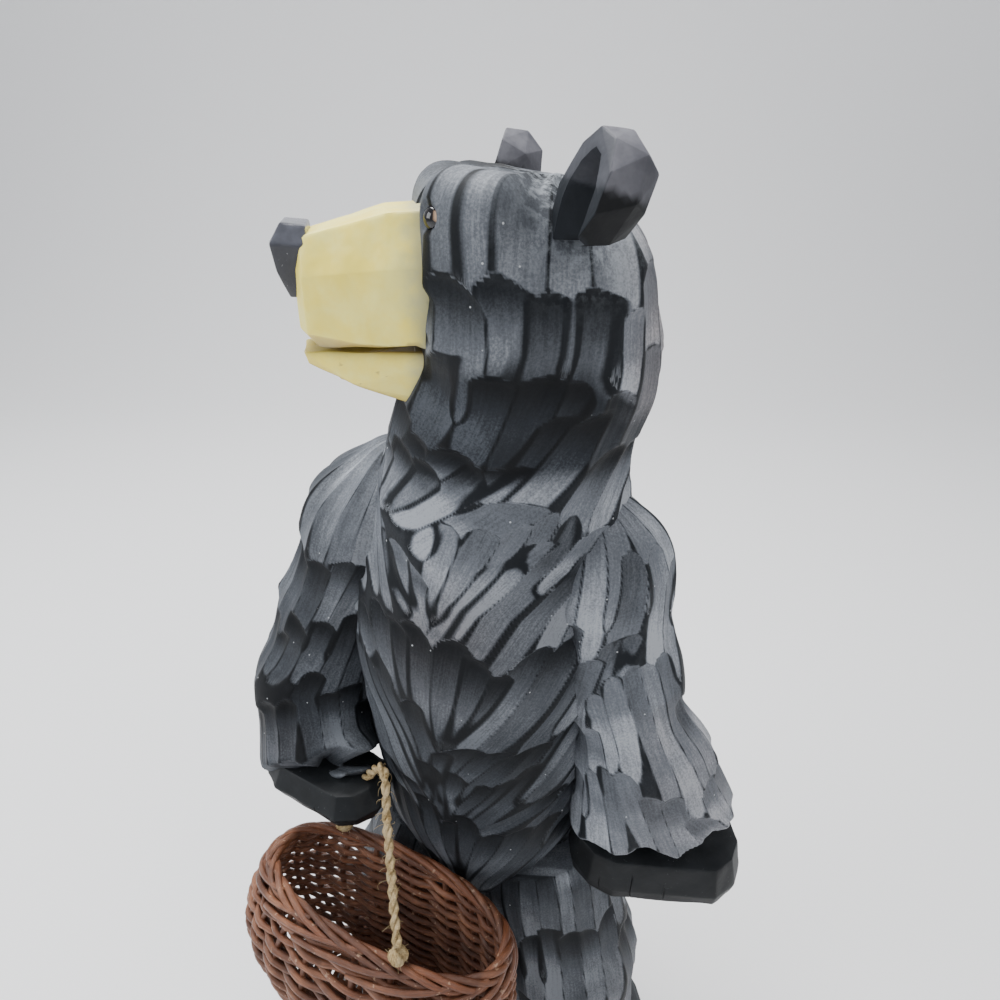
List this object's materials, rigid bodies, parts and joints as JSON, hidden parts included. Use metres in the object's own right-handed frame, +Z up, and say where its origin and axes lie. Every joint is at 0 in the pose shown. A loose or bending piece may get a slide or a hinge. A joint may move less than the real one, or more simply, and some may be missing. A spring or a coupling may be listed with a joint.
{
  "type": "resin bear door greeter",
  "caption": "Standing bear cast in resin with a chainsaw-carved look, head turned aside, holding a hanging wicker basket on jute twine, on a low base.",
  "frame": {"origin": "on the flat underside of the base, below the middle of the bear's trunk", "axes": "+Z up, -Y the way the bear's chest looks, +X to the bear's left"},
  "size_m": [0.2563, 0.1865, 0.56],
  "materials": {
    "resin": "matte, dry-brushed charcoal over black",
    "wicker": "stained reddish-brown willow rods",
    "jute": "natural two-ply jute twine"
  },
  "bodies": {
    "root": {"bear": "resin", "basket": "wicker", "twine": "jute", "knot_front": "jute", "knot_back": "jute"}
  },
  "joints": []
}
